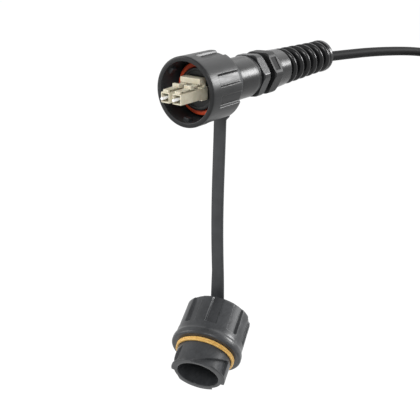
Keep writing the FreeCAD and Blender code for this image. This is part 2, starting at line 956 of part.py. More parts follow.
def strap_section(middle, along, side):
    """A rectangle of strap across its run, with its width along the given side."""
    face = along.cross(side).normalize()
    side = face.cross(along).normalize()
    half_width = side * (size("strap_width").value / 2)
    half_thick = face * (strap_thickness.value / 2)
    corners = [middle - half_width - half_thick, middle + half_width - half_thick,
               middle + half_width + half_thick, middle - half_width + half_thick]
    return Part.makePolygon(corners + corners[:1])


def tether_strap():
    """Collar, strap and eyelet as one moulding: straight down, then a twist and a bend onto the cap's end."""
    inner = tether_groove_radius.value + running_clearance.value
    outer = inner + size("collar_wall").value
    front = retainer_rear.value + end_clearance.value
    rear = size("tether_groove_rear").value - end_clearance.value
    backwards = Vector(0, 1, 0)
    collar = Part.makeCylinder(outer, rear - front, Vector(0, front, 0), backwards)
    hole = Part.makeCylinder(inner, rear - front, Vector(0, front, 0), backwards)

    top = Vector(0, (front + rear) / 2, -(inner + outer) / 2)
    lift = running_clearance.value + strap_thickness.value / 2
    eyelet = strap_foot + cap_back * lift
    bend = size("strap_bend_reach").value
    corner = eyelet + cap_up * bend
    down = (corner - top).normalize()
    across = Vector(1, 0, 0)
    twist_start = corner - down * (bend / 2 + size("strap_twist_length").value)
    bend_start = corner - down * (bend / 2)
    bend_end = corner - cap_up * (bend / 2)
    sections = [strap_section(top, down, across), strap_section(twist_start, down, across)]
    for part in (0, 0.25, 0.5, 0.75, 1):
        middle = bend_start * (1 - part) ** 2 + corner * (2 * part * (1 - part)) + bend_end * part ** 2
        along = down * (1 - part) - cap_up * part
        sections.append(strap_section(middle, along.normalize(), cap_side))
    sections.append(strap_section(eyelet, -cap_up, cap_side))
    strap = Part.makeLoft(sections, True, True)

    base = eyelet - cap_back * (strap_thickness.value / 2)
    disc = Part.makeCylinder(size("eyelet_diameter").value / 2, strap_thickness.value, base, cap_back)
    pin_hole = Part.makeCylinder(size("rivet_diameter").value / 2 + running_clearance.value,
                                 3 * strap_thickness.value, base - cap_back * strap_thickness.value, cap_back)
    whole = collar.fuse([strap, disc]).removeSplitter().cut(hole).cut(pin_hole)
    node("tether_strap", shaped("tether_strap", whole))


# Cable and leads

def rounded_path(points, label):
    """Straight runs joined by tangent arcs, each arc as large as its two runs allow."""
    edges = []
    start = points[0]
    radii = []
    for before, corner, after in zip(points, points[1:], points[2:]):
        back = (before - corner)
        ahead = (after - corner)
        half_turn = (math.pi - back.getAngle(ahead)) / 2
        reach = 0.45 * min(back.Length, ahead.Length)
        radii.append(reach / math.tan(half_turn))
        back.normalize()
        ahead.normalize()
        first = corner + back * reach
        last = corner + ahead * reach
        middle = corner + (back + ahead).normalize() * (radii[-1] * (1 / math.cos(half_turn) - 1))
        edges.append(Part.LineSegment(start, first).toShape())
        edges.append(Part.Arc(first, middle, last).toShape())
        start = last
    edges.append(Part.LineSegment(start, points[-1]).toShape())
    path = Part.Wire(edges)
    print(label, "radii", [round(radius) for radius in radii], "length", round(path.Length, 1))
    return path


def tube_along(points, radius, label):
    path = rounded_path(points, label)
    along = (points[1] - points[0]).normalize()
    ring = Part.Wire(Part.makeCircle(radius, points[0], along))
    tube = path.makePipeShell([ring], True, False)
    print(label, "volume over section times length", tube.Volume / (math.pi * radius ** 2 * path.Length))
    return tube


def fibre_leads():
    height = size("connector_height").value
    half_pitch = size("connector_pitch").value / 2
    radius = size("lead_diameter").value / 2
    start = near_front.value + rear_post_rear.value - size("lead_socket").value
    straight = size("lead_straight").value
    cable_end = CABLE_ROUTE[0].y
    for side, sign in CONNECTOR_SIDES.items():
        points = [
            Vector(sign * half_pitch, start, height),
            Vector(sign * half_pitch, start + straight, height),
            Vector(sign * radius * 1.4, cable_end - straight, 0),
            Vector(sign * radius * 1.4, cable_end, 0),
        ]
        label = f"fibre_lead_{side}"
        node(label, shaped(label, tube_along(points, radius, label)))


coil_radius = size("coil_diameter").value / 2
coil_entry = CABLE_ROUTE[-1]
entry_run = (CABLE_ROUTE[-1] - CABLE_ROUTE[-2]).normalize()
coil_middle = coil_entry + Vector(0, entry_run.z, -entry_run.y) * coil_radius
entry_turn = math.degrees(math.atan2(-entry_run.z, entry_run.y))
coil_turns = size("coil_whole_turns").value + (90 - entry_turn) / 360
coil_width = coil_turns * size("coil_strand_pitch").value
tail_top = coil_middle + Vector(coil_width, coil_radius, 0)
far_boot_radius = size("far_boot_start_diameter").value / 2
far_boot_middle = coil_radius - far_boot_radius - size("far_boot_gap").value
coil_outside = coil_radius + cable_radius.value + size("coil_slack").value
tail_free = math.sqrt(coil_outside ** 2 - far_boot_middle ** 2)
tail_socket = size("tail_socket").value
tail_length = tail_free + size("far_boot_length").value + tail_socket - running_clearance.value
print("coil middle", coil_middle, "turns", coil_turns, "tail top", tail_top)


def cable():
    node("cable", shaped("cable", tube_along(CABLE_ROUTE, cable_radius.value, "cable")))

    across = Vector(1, 0, 0)
    half = cable_radius.value + size("coil_slack").value
    base = coil_middle - across * half
    width = coil_width + 2 * half
    outside = Part.makeCylinder(coil_radius + half, width, base, across)
    inside = Part.makeCylinder(coil_radius - half, width, base, across)
    node("cable_coil", shaped("cable_coil", outside.cut(inside)))

    gap = running_clearance.value
    wall = size("tie_thickness").value

    def band(ease):
        """A short arc of ring that wraps the coil's strands with the given ease."""
        length = width + 2 * ease
        start = coil_middle + across * (coil_width / 2 - length / 2)
        arc = size("tie_arc").value
        outer = Part.makeCylinder(coil_radius + half + ease, length, start, across, arc)
        inner = Part.makeCylinder(coil_radius - half - ease, length, start, across, arc)
        return outer.cut(inner)

    tie = band(gap + wall).cut(band(gap))
    tie.rotate(coil_middle, across, 180)
    node("coil_tie", shaped("coil_tie", tie))

    tail = Part.makeCylinder(cable_radius.value, tail_length, tail_top, Vector(0, 0, -1))
    node("cable_tail", shaped("cable_tail", tail))


def far_connectors():
    """The plain pair at the cord's other end, hanging front down under the coil."""
    shell_front = size("far_shell_front")
    shell_rear = shell_front + size("far_shell_length") + rear_post_rear - housing_length
    boot_rear = shell_rear + size("far_boot_length")
    drop = boot_rear.value + tail_free
    front_down = Rotation(Vector(1, 0, 0), 90)
    place = Placement(tail_top - Vector(0, 0, drop), front_down)
    print("far front", place.Base.z)
    connector_pair("far_", place)

    wall = size("far_shell_wall")
    half_width = size("connector_pitch") / 2 + housing_half + wall
    half_height = housing_half + wall
    window = housing_half + seat_clearance
    hole = size("rear_post_flange_diameter") / 2 + running_clearance
    half_pitch = size("connector_pitch") / 2
    bore = cable_radius + seat_clearance
    cuts = [rod("far_shell_bore", bore, (shell_rear - tail_socket, shell_rear + margin))]
    for side, sign in CONNECTOR_SIDES.items():
        middle = half_pitch * sign
        cuts.append(block(f"far_window_{side}", (middle - window, middle + window),
                          (shell_front - margin, housing_length), (-window, window)))
        cuts.append(rod(f"far_hole_{side}", hole, (housing_length - margin, rear_post_rear + running_clearance),
                        middle))
    shell = block("far_shell_block", (-half_width, half_width), (shell_front, shell_rear), (-half_height, half_height))
    node("far_shell", less("far_shell", shell, cuts), place)

    first = size("far_boot_start_diameter") / 2
    last = size("far_boot_end_diameter") / 2
    boot = turned("far_boot", [(bore, shell_rear), (first, shell_rear), (last, boot_rear), (bore, boot_rear)])
    node("far_boot", boot, place)


coupling_ring()
plug_body()
near_connectors()
gland_body()
gland_nut()
dust_cap()
tether_strap()
fibre_leads()
cable()
far_connectors()

document.recompute()
for item in document.Objects:
    if "Invalid" in item.State or "Error" in item.State:
        raise RuntimeError(f"{item.Label} did not build: {item.State}")
for label, piece in nodes.items():
    if piece.Shape.isNull() or not piece.Shape.isValid() or not piece.Shape.Solids:
        raise RuntimeError(f"{label} has no sound solid")

os.makedirs("parts", exist_ok=True)
for label, piece in nodes.items():
    piece.Shape.exportStep(f"parts/{label}.step")
print(len(nodes), "nodes")
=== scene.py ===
# The look of a sealed two-fibre patch cord: bayonet plug, spiral bend relief, dust cap on its strap, cable.
# Sizes are in millimetres, with stations along the plug's axis, Y, and become metres when a mesh is written.

import math

import bmesh
import bpy
import numpy as np
from mathutils import Matrix, Vector


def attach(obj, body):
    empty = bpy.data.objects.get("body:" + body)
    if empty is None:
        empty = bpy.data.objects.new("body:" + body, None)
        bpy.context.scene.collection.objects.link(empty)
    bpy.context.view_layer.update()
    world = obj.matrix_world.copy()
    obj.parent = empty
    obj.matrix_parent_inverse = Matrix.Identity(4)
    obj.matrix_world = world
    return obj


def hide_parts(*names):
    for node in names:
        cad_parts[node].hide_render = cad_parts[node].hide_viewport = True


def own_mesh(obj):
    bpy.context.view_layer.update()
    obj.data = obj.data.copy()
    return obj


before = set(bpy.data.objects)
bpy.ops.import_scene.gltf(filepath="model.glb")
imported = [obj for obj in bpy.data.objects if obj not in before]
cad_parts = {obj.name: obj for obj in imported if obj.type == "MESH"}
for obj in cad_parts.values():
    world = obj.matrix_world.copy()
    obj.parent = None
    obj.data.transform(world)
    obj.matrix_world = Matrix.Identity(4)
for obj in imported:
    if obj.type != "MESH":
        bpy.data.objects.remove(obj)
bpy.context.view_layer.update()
scene = bpy.context.scene
MM = 0.001
FULL_TURN = 2 * math.pi
ACROSS = Vector((1, 0, 0))
ALONG = Vector((0, 1, 0))
UP = Vector((0, 0, 1))

# Camera, set to the photograph's viewing angle
camera_data = bpy.data.cameras.new("camera")
camera_data.lens = 85.71
camera_data.sensor_width = 36
camera_data.clip_start = 0.01
camera = bpy.data.objects.new("camera", camera_data)
camera.location = (0.26281, -0.32330, 0.09169)
camera.rotation_euler = (math.radians(70.89), 0, math.radians(37.63))
scene.collection.objects.link(camera)
scene.camera = camera
scene.view_settings.view_transform = "Standard"


# Shader maths

class Wire:
    """A shader socket that can be used in plain arithmetic."""

    def __init__(self, nodes, socket):
        self.nodes = nodes
        self.socket = socket

    def __add__(self, other):
        return self.nodes.maths("ADD", self, other)

    def __sub__(self, other):
        return self.nodes.maths("SUBTRACT", self, other)

    def __mul__(self, other):
        return self.nodes.maths("MULTIPLY", self, other)

    def between(self, low, high):
        """Nought at low, one at high, and smooth from one to the other."""
        settings = {"interpolation_type": "SMOOTHSTEP"}
        sockets = {"Value": self, "From Min": low, "From Max": high}
        return self.nodes.node("ShaderNodeMapRange", settings, sockets)


class Nodes:
    """The node tree of a material or of the world."""

    def __init__(self, tree):
        self.tree = tree

    def node(self, kind, settings, sockets, output=0):
        """Add a node, set or join its sockets and give back one of its outputs."""
        made = self.tree.nodes.new(kind)
        for setting, amount in settings.items():
            setattr(made, setting, amount)
        for socket, amount in sockets.items():
            self.join(amount, made.inputs[socket])
        return Wire(self, made.outputs[output])

    def join(self, amount, socket):
        if isinstance(amount, Wire):
            self.tree.links.new(amount.socket, socket)
        else:
            socket.default_value = amount

    def maths(self, operation, first, second=0):
        return self.node("ShaderNodeMath", {"operation": operation}, {0: first, 1: second})

    def vector_maths(self, operation, sockets, output=0):
        return self.node("ShaderNodeVectorMath", {"operation": operation}, sockets, output)

    def point(self):
        """The place on the object, in metres."""
        return self.node("ShaderNodeTexCoord", {}, {}, "Object")

    def seen(self):
        """One for what the camera, a reflection or a clear body shows, nought for light that falls."""
        straight, mirrored, clear = (
            self.node("ShaderNodeLightPath", {}, {}, f"Is {kind} Ray")
            for kind in ("Camera", "Glossy", "Transmission")
        )
        return (straight + mirrored + clear).between(0, 1)


class Finish(Nodes):
    """A material and the nodes that vary its colour, roughness and surface."""

    def __init__(self, name, **constants):
        self.material = bpy.data.materials.new(name)
        self.material.use_nodes = True
        super().__init__(self.material.node_tree)
        self.shader = self.tree.nodes["Principled BSDF"]
        for socket, amount in constants.items():
            self.set(socket.replace("_", " "), amount)

    def set(self, socket, amount):
        self.join(amount, self.shader.inputs[socket])

    def noise(self, size, stretch=(1, 1, 1), detail=3):
        """Soft noise between nought and one with blotches of about the given size in millimetres."""
        scale = tuple(1 / (MM * size * amount) for amount in stretch)
        place = self.vector_maths("MULTIPLY", {0: self.point(), 1: scale})
        return self.node("ShaderNodeTexNoise", {}, {"Vector": place, "Scale": 1, "Detail": detail})

    def tint(self, factor, first, second):
        """A colour between two others."""
        return self.node("ShaderNodeMix", {"data_type": "RGBA"}, {0: factor, 6: first, 7: second}, 2)

    def bump(self, height, strength, distance):
        sockets = {"Height": height, "Strength": strength, "Distance": distance * MM}
        self.set("Normal", self.node("ShaderNodeBump", {}, sockets))


# Finishes

ALONG_AXIS = (1, 12, 1)
ROUND_AXIS = (14, 1, 14)
DOWN_STRAP = (3, 3, 20)
EVEN = (1, 1, 1)
PAINTED_LIGHT_BLACK = 0.028
DULL_RISE = 0.4


def grey(amount):
    """A slightly cool grey."""
    return (amount, amount * 1.05, amount * 1.13, 1)


def moulded_black(name, dark, light, roughness, grain, flow=ALONG_AXIS, shine=0.28,
                  dull_place=None, painted_light_place=None):
    """Black plastic with soft clouds, flow marks and a grain, a duller place if asked, and a place given a
    paler colour as painted light if asked.
    """
    finish = Finish(name, Specular_IOR_Level=shine)
    cloud = finish.noise(6)
    streak = finish.noise(0.7, flow)
    fine = finish.noise(0.22, detail=4)
    mottled = (cloud * 0.5 + streak * 0.3 + fine * 0.2).between(0.32, 0.68)
    shade = finish.tint(mottled, grey(dark), grey(light))
    # The paler place is painted light: a lighter colour stands in for fill light in a shaded hollow.
    if painted_light_place:
        shade = finish.tint(painted_light_place(finish), shade, grey(PAINTED_LIGHT_BLACK))
    finish.set("Base Color", shade)
    rough = (streak - 0.5) * (grain + 0.08) + (cloud - 0.5) * 0.12 + roughness
    if dull_place:
        rough = rough + dull_place(finish) * DULL_RISE
    finish.set("Roughness", rough)
    finish.bump(fine + streak * 0.5, grain, 0.03)
    return finish.material


def beige_plastic():
    """Satin connector plastic whose warm tone varies a little."""
    finish = Finish("beige_plastic", Specular_IOR_Level=0.45, Subsurface_Weight=0.04, Subsurface_Scale=0.0006)
    cloud = finish.noise(2.2)
    fine = finish.noise(0.12)
    tone = (cloud * 0.75 + fine * 0.25).between(0.3, 0.7)
    finish.set("Base Color", finish.tint(tone, (0.53, 0.485, 0.36, 1), (0.64, 0.60, 0.48, 1)))
    finish.set("Roughness", (cloud - 0.5) * 0.15 + 0.4)
    finish.bump(fine, 0.1, 0.01)
    return finish.material


def elastomer(name, deep, bright, roughness):
    """Soft seal rubber with a fine matte skin."""
    finish = Finish(name, Specular_IOR_Level=0.35)
    cloud = finish.noise(1.6)
    fine = finish.noise(0.15, detail=4)
    tone = (cloud * 0.7 + fine * 0.3).between(0.3, 0.7)
    finish.set("Base Color", finish.tint(tone, deep, bright))
    finish.set("Roughness", (fine - 0.5) * 0.2 + roughness)
    finish.bump(fine, 0.2, 0.02)
    return finish.material


def bright_metal():
    """Plain steel with fine scratches."""
    finish = Finish("bright_metal", Metallic=1.0)
    scratch = finish.noise(0.15, (1, 8, 8))
    finish.set("Base Color", finish.tint(scratch, (0.42, 0.42, 0.43, 1), (0.62, 0.62, 0.63, 1)))
    finish.set("Roughness", (scratch - 0.5) * 0.2 + 0.32)
    return finish.material


def white_ceramic():
    """Polished ceramic, faintly clouded."""
    finish = Finish("white_ceramic", Specular_IOR_Level=0.6)
    cloud = finish.noise(0.6)
    finish.set("Base Color", finish.tint(cloud, (0.80, 0.80, 0.79, 1), (0.87, 0.87, 0.86, 1)))
    finish.set("Roughness", cloud * 0.1 + 0.18)
    return finish.material


body_black = moulded_black("body_black", 0.004, 0.007, 0.30, 0.06, ROUND_AXIS)
gland_black = moulded_black("gland_black", 0.010, 0.018, 0.34, 0.20)
cap_black = moulded_black("cap_black", 0.022, 0.040, 0.34, 0.16, shine=0.32)
strap_black = moulded_black("strap_black", 0.023, 0.035, 0.52, 0.25, DOWN_STRAP)
jacket_black = moulded_black("jacket_black", 0.003, 0.006, 0.55, 0.10, EVEN, 0.06)
tie_black = moulded_black("tie_black", 0.014, 0.022, 0.50, 0.15)
seal_red = elastomer("seal_red", (0.42, 0.040, 0.012, 1), (0.58, 0.075, 0.022, 1), 0.5)
seal_amber = elastomer("seal_amber", (0.61, 0.35, 0.085, 1), (0.73, 0.46, 0.145, 1), 0.42)
rubber_black = elastomer("rubber_black", grey(0.008), grey(0.014), 0.6)
lead_yellow = elastomer("lead_yellow", (0.62, 0.42, 0.03, 1), (0.72, 0.52, 0.06, 1), 0.4)
beige = beige_plastic()
metal = bright_metal()
ceramic = white_ceramic()


# Mesh helpers

SAME_POINT = 1e-5
TINY = 1e-9
SLACK = 1e-6
SIDE_SHARE = 0.45


def finished(name, points, faces, material, body, slot, replaced, place=Matrix(), sharp=None):
    """Write a mesh given in millimetres, put it in its place and say what it rides on and stands for."""
    mesh = bpy.data.meshes.new(name)
    mesh.from_pydata([tuple(point) for point in points], [], faces)
    shape = bmesh.new()
    shape.from_mesh(mesh)
    bmesh.ops.remove_doubles(shape, verts=shape.verts, dist=SAME_POINT)
    bmesh.ops.recalc_face_normals(shape, faces=shape.faces)
    shape.to_mesh(mesh)
    shape.free()
    mesh.transform(place)
    mesh.transform(Matrix.Scale(MM, 4))
    mesh.shade_smooth()
    if sharp is not None:
        mesh.set_sharp_from_angle(angle=math.radians(sharp))
    mesh.materials.append(material)
    piece = bpy.data.objects.new(name, mesh)
    scene.collection.objects.link(piece)
    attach(piece, body)
    if replaced:
        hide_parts(*replaced)
    return piece


def curved(first, middle, last, part):
    """A point on the arc from first to last that leaves and arrives in line with middle."""
    return first * (1 - part) ** 2 + middle * (2 * part * (1 - part)) + last * part ** 2


def eased(corners, radius, steps=5):
    """Round the corners of a closed outline; a corner may carry a radius of its own."""
    points = []
    for index, corner in enumerate(corners):
        here = Vector(corner[:2])
        reach = corner[2] if len(corner) > 2 else radius
        ends = []
        for neighbour in (corners[index - 1], corners[(index + 1) % len(corners)]):
            side = Vector(neighbour[:2]) - here
            ends.append(here + side * min(SIDE_SHARE, reach / max(side.length, TINY)))
        for part in np.linspace(0, 1, steps):
            points.append(curved(ends[0], here, ends[1], part))
    return points


def spaced(points, pace):
    """Add points along a closed outline, no further apart than the pace at each (radius, station)."""
    dense = []
    for point, following in zip(points, points[1:] + points[:1]):
        run = following - point
        done = 0.0
        while done < run.length - SLACK:
            here = point + run * (done / max(run.length, TINY))
            dense.append(here)
            left = run.length - done
            step = min(pace(*here), left)
            done += left / math.ceil(left / step - SLACK) if step < left else left
    return dense


def grid_faces(rows, columns, closed=True):
    """Four-sided faces of a surface that closes on itself round its columns, and along its rows if asked."""
    faces = []
    for row in range(rows if closed else rows - 1):
        below = row * columns
        above = (row + 1) % rows * columns
        for column in range(columns):
            beside = (column + 1) % columns
            faces.append((below + column, below + beside, above + beside, above + column))
    return faces


def capped(rings):
    """Points and faces of a run of equal rings, closed at both ends."""
    count = len(rings[0])
    last = (len(rings) - 1) * count
    faces = grid_faces(len(rings), count, closed=False)
    faces += [tuple(range(count)), tuple(range(last, last + count))]
    return [point for ring in rings for point in ring], faces


def turned(outline, segments, shape=None):
    """Points and faces of an outline of (radius, station) swept round Y, its radius shaped by the turn."""
    radius = np.array([point[0] for point in outline])[:, None]
    station = np.array([point[1] for point in outline])[:, None]
    turn = np.linspace(0, FULL_TURN, segments, endpoint=False)[None, :]
    radius = np.repeat(radius, segments, axis=1)
    if shape is not None:
        radius = shape(radius, station, turn)
    points = np.stack([radius * np.cos(turn), station + 0 * turn, radius * np.sin(turn)], axis=-1)
    return points.reshape(-1, 3), grid_faces(len(outline), segments)


def step_up(low, high, amount):
    """Nought at low, one at high, and smooth from one to the other."""
    part = np.clip((amount - low) / (high - low), 0, 1)
    return part * part * (3 - 2 * part)


def softly_less(first, second, ease):
    """The smaller of two amounts, eased where they cross."""
    return -ease * np.log(np.exp(-first / ease) + np.exp(-second / ease))


def around(turn, middle):
    """Angle from a middle line, between minus and plus half a turn."""
    return (turn - middle + math.pi) % FULL_TURN - math.pi


def polar(radius, degrees):
    return radius * math.cos(math.radians(degrees)), radius * math.sin(math.radians(degrees))


# Grip recesses, which the ring and the cap share

GRIP_DEPTH = 1.1
GRIP_HALF_ARC = math.radians(10.5)
GRIP_CORNER = 0.8
GRIP_EDGE = 0.1
GRIP_FOOT = -0.65
GRIP_REACH = 1.4


def grip_mask(turn, station, radius, start, middles):
    """One inside the grip recesses and nought on the lands between them."""
    mask = 0 * (turn + station)
    half_width = GRIP_HALF_ARC * radius
    for middle in middles:
        across = np.abs(around(turn, math.radians(middle))) * radius - half_width + GRIP_CORNER
        along = start - station + GRIP_CORNER
        outside = np.hypot(np.maximum(across, 0), np.maximum(along, 0))
        inside = np.minimum(np.maximum(across, along), 0)
        mask = np.maximum(mask, step_up(GRIP_EDGE, GRIP_FOOT, outside + inside - GRIP_CORNER))
    return mask


# Moulded blocks

HARD_ANGLE = math.radians(20)


class Moulding:
    """Bevelled blocks and prisms that make one moulded piece, in millimetres."""

    def __init__(self, edge):
        self.shape = bmesh.new()
        self.edge = edge

    def add(self, points, faces, edge=None):
        part = bmesh.new()
        corners = [part.verts.new(point) for point in points]
        for face in faces:
            part.faces.new([corners[index] for index in face])
        bmesh.ops.recalc_face_normals(part, faces=part.faces)
        part.normal_update()
        hard = [line for line in part.edges if line.calc_face_angle(0) > HARD_ANGLE]
        bmesh.ops.bevel(part, geom=hard, offset=edge or self.edge, segments=3, profile=0.5, affect="EDGES")
        kept = bpy.data.meshes.new("part")
        part.to_mesh(kept)
        part.free()
        self.shape.from_mesh(kept)
        bpy.data.meshes.remove(kept)

    def prism(self, outline, low, high, edge=None):
        """A side outline of (station, height) points carried across from low to high."""
        self.add(*capped([[(side, *point) for point in outline] for side in (low, high)]), edge)

    def wedge(self, outline, low, high):
        """A front outline of (side, height) points carried along Y from low to high."""
        self.add(*capped([[(x, station, z) for x, z in outline] for station in (low, high)]))

    def block(self, x, y, z, edge=None):
        self.prism([(y[0], z[0]), (y[1], z[0]), (y[1], z[1]), (y[0], z[1])], x[0], x[1], edge)

    def socket_block(self, half, opening, length, depth):
        """A square bar along Y with a square opening in its front."""
        def ring(size, y):
            return [(-size, y, -size), (size, y, -size), (size, y, size), (-size, y, size)]
        self.add(*capped([ring(opening, depth), ring(opening, 0), ring(half, 0), ring(half, length)]))

    def done(self, name, material, body, slot, replaced, place=Matrix()):
        self.shape.verts.index_update()
        points = [vert.co.copy() for vert in self.shape.verts]
        faces = [tuple(vert.index for vert in face.verts) for face in self.shape.faces]
        self.shape.free()
        piece = finished(name, points, faces, material, body, slot, replaced, place)
        piece.modifiers.new("even", "WEIGHTED_NORMAL").keep_sharp = True


# Coupling ring

RING_RADIUS = 15.25
RING_FLARE = 0.2
RING_LENGTH = 21.3
RING_EDGE = 0.7
RING_BORE = 13.3
RING_WEB = 16.5
RING_WEB_BORE = 9.7
RING_SKIN_FOOT = 1.4
RING_SKIN_TOP = 0.9
RING_PACE = 0.14
RING_PLAIN_PACE = 1.5
RING_GRIP_START = 5.8
RING_GRIP_TURN = 5
RING_GRIP_SPREAD = 17.5
RING_GRIPS = [
    RING_GRIP_TURN + side * RING_GRIP_SPREAD + quarter * 90 for quarter in range(4) for side in (-1, 1)
]
LUG_FRONT = 2.9
LUG_REAR = 5.7
LUG_TIP = 12.0
LUG_SUNK = 0.4
LUG_HALF_ARC = 6.5
LUG_TURNS = (22, 142, 262)


def painted_bore_light(finish):
    """One on the bore of the coupling ring, where a paler colour is painted light in the shaded hollow."""
    across = finish.vector_maths("MULTIPLY", {0: finish.point(), 1: (1, 0, 1)})
    reach = finish.vector_maths("LENGTH", {0: across}, "Value")
    return reach.between((RING_BORE + 0.3) * MM, (RING_BORE + 0.1) * MM)


# The ring's bore gets a paler colour as painted light.
ring_black = moulded_black("ring_black", 0.006, 0.011, 0.35, 0.14, painted_light_place=painted_bore_light)


def ring_shape(radius, station, turn):
    outer = step_up(RING_RADIUS - RING_SKIN_FOOT, RING_RADIUS - RING_SKIN_TOP, radius)
    recess = grip_mask(turn, station, RING_RADIUS, RING_GRIP_START, RING_GRIPS)
    floor = np.minimum(radius, RING_RADIUS - GRIP_DEPTH)
    return radius + (floor - radius) * recess * outer


def ring_pace(radius, station):
    at_grip = radius > RING_BORE + 1 and abs(station - RING_GRIP_START) < GRIP_REACH
    return RING_PACE if at_grip else RING_PLAIN_PACE


def coupling_ring():
    outline = eased([
        (RING_BORE, 0),
        (RING_RADIUS + RING_FLARE, 0, RING_EDGE),
        (RING_RADIUS, RING_LENGTH, RING_EDGE),
        (RING_WEB_BORE, RING_LENGTH),
        (RING_WEB_BORE, RING_WEB),
        (RING_BORE, RING_WEB),
    ], 0.3)
    finished("coupling_ring_skin", *turned(spaced(outline, ring_pace), 720, ring_shape), ring_black, "ring",
             "ring_black", ["coupling_ring"])
    lugs = Moulding(0.25)
    for middle in LUG_TURNS:
        steps = np.linspace(-LUG_HALF_ARC, LUG_HALF_ARC, 9)
        inner = [polar(LUG_TIP, middle + step) for step in steps]
        outer = [polar(RING_BORE + LUG_SUNK, middle + step) for step in reversed(steps)]
        lugs.wedge(inner + outer, LUG_FRONT, LUG_REAR)
    lugs.done("ring_lugs", ring_black, "ring", "ring_black", [])


# Plug body and seals

BODY_RADIUS = 9.6
BODY_REAR = 42.5
BODY_BORE = 6.9
BODY_PACE = 2.0
BOSS_RADIUS = 9.4
BOSS_FRONT = 8.5
CARRIER_BORE = 7.95
CARRIER_REAR = 18.0
SHOULDER_RADIUS = 12.7
SHOULDER_FRONT = 11.8
SHOULDER_REAR = 16.2
GROOVE_RADIUS = 8.3
GROOVE_FRONT = 21.6
GROOVE_REAR = 28.0
FACE_SEAL = [(9.45, 10.0), (11.65, 10.0), (11.65, SHOULDER_FRONT), (9.45, SHOULDER_FRONT)]
GLAND_RING = [(7.3, 42.55), (9.2, 42.55), (9.2, 44.55), (7.3, 44.55)]


def plug_body():
    outline = eased([
        (CARRIER_BORE, BOSS_FRONT),
        (BOSS_RADIUS, BOSS_FRONT, 0.4),
        (BOSS_RADIUS, SHOULDER_FRONT),
        (SHOULDER_RADIUS, SHOULDER_FRONT),
        (SHOULDER_RADIUS, SHOULDER_REAR),
        (BODY_RADIUS, SHOULDER_REAR),
        (BODY_RADIUS, GROOVE_FRONT),
        (GROOVE_RADIUS, GROOVE_FRONT),
        (GROOVE_RADIUS, GROOVE_REAR),
        (BODY_RADIUS, GROOVE_REAR, 0.6),
        (BODY_RADIUS, BODY_REAR, 0.5),
        (BODY_BORE, BODY_REAR),
        (BODY_BORE, CARRIER_REAR),
        (CARRIER_BORE, CARRIER_REAR),
    ], 0.15, 4)
    dense = spaced(outline, lambda radius, station: BODY_PACE)
    finished("plug_body_skin", *turned(dense, 256), body_black, "plug", "body_black", ["plug_body"], sharp=40)
    for name, material, slot, section in (
        ("face_seal", seal_red, "seal_red", FACE_SEAL),
        ("gland_ring", rubber_black, "rubber_black", GLAND_RING),
    ):
        finished(name + "_skin", *turned(eased(section, 0.5), 200), material, "plug", slot, [name])


# Fibre connectors, drawn with their front at station 0

HOUSING_HALF = 2.25
HOUSING_LENGTH = 20
HOUSING_EDGE = 0.09
OPENING_HALF = 1.75
OPENING_DEPTH = 7
HALF_PITCH = 3.125
LATCH_HALF = 1.4
LATCH_SIDE = [
    (0.3, 2.1), (0.3, 3.05), (0.6, 3.35), (1.3, 3.35), (7.0, 3.6), (12.5, 4.4), (12.5, 3.8), (7.0, 3.1),
    (3.1, 2.7), (3.1, 3.05), (1.5, 3.05), (1.5, 2.1),
]
LATCH_LUG_SIDE = [(7.0, 2.9), (7.0, 4.8), (8.6, 4.8), (9.5, 4.0), (9.5, 2.9)]
LATCH_LUG_HALF = 1.9
LATCH_LUG_EDGE = 0.25
FERRULE_RADIUS = 0.625
FERRULE_FRONT = -2.4
FERRULE_REAR = 9.5
POINTED = 0.01
SPRING_FRONT = 12.0
SPRING_LENGTH = 5.0
SPRING_TURNS = 3
SPRING_RADIUS = 1.15
SPRING_ROOM = 0.05
WIRE_RADIUS = 0.15
NEAR_PLACE = Matrix.Translation((0, -9.1, -1.0))
CLIP_EDGE = 0.12
CLIP_FRONT = 14.1
CLIP_REAR = 17.9
CLIP_INNER = 2.3
CLIP_OUTER = 2.9
CLIP_WEB_HALF = 0.75
TRIGGER_FRONT = 12.7
TRIGGER_REAR = 17.0
TRIGGER_FOOT = 4.35
TRIGGER_TOP = 6.8
TRIGGER_EDGE = 0.2
TRIGGER_POST = 15.8


def ferrule_spring(prefix, side, place):
    """The coil spring behind a ferrule, drawn at one length, with a mesh of its own."""
    first = SPRING_FRONT + WIRE_RADIUS + SPRING_ROOM
    run = SPRING_LENGTH - 2 * (WIRE_RADIUS + SPRING_ROOM)
    around_wire = np.linspace(0, FULL_TURN, 10, endpoint=False)
    rings = []
    for part in np.linspace(0, 1, 24 * SPRING_TURNS + 1):
        turn = FULL_TURN * SPRING_TURNS * part
        out = Vector((math.cos(turn), 0, math.sin(turn)))
        middle = out * SPRING_RADIUS + ALONG * (first + run * part)
        rings.append([middle + (out * math.cos(a) + ALONG * math.sin(a)) * WIRE_RADIUS for a in around_wire])
    spring = finished(f"{prefix}spring_{side}", *capped(rings), metal, "plug", "steel",
                      [f"{prefix}ferrule_spring_{side}"], place, 60)
    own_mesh(spring)


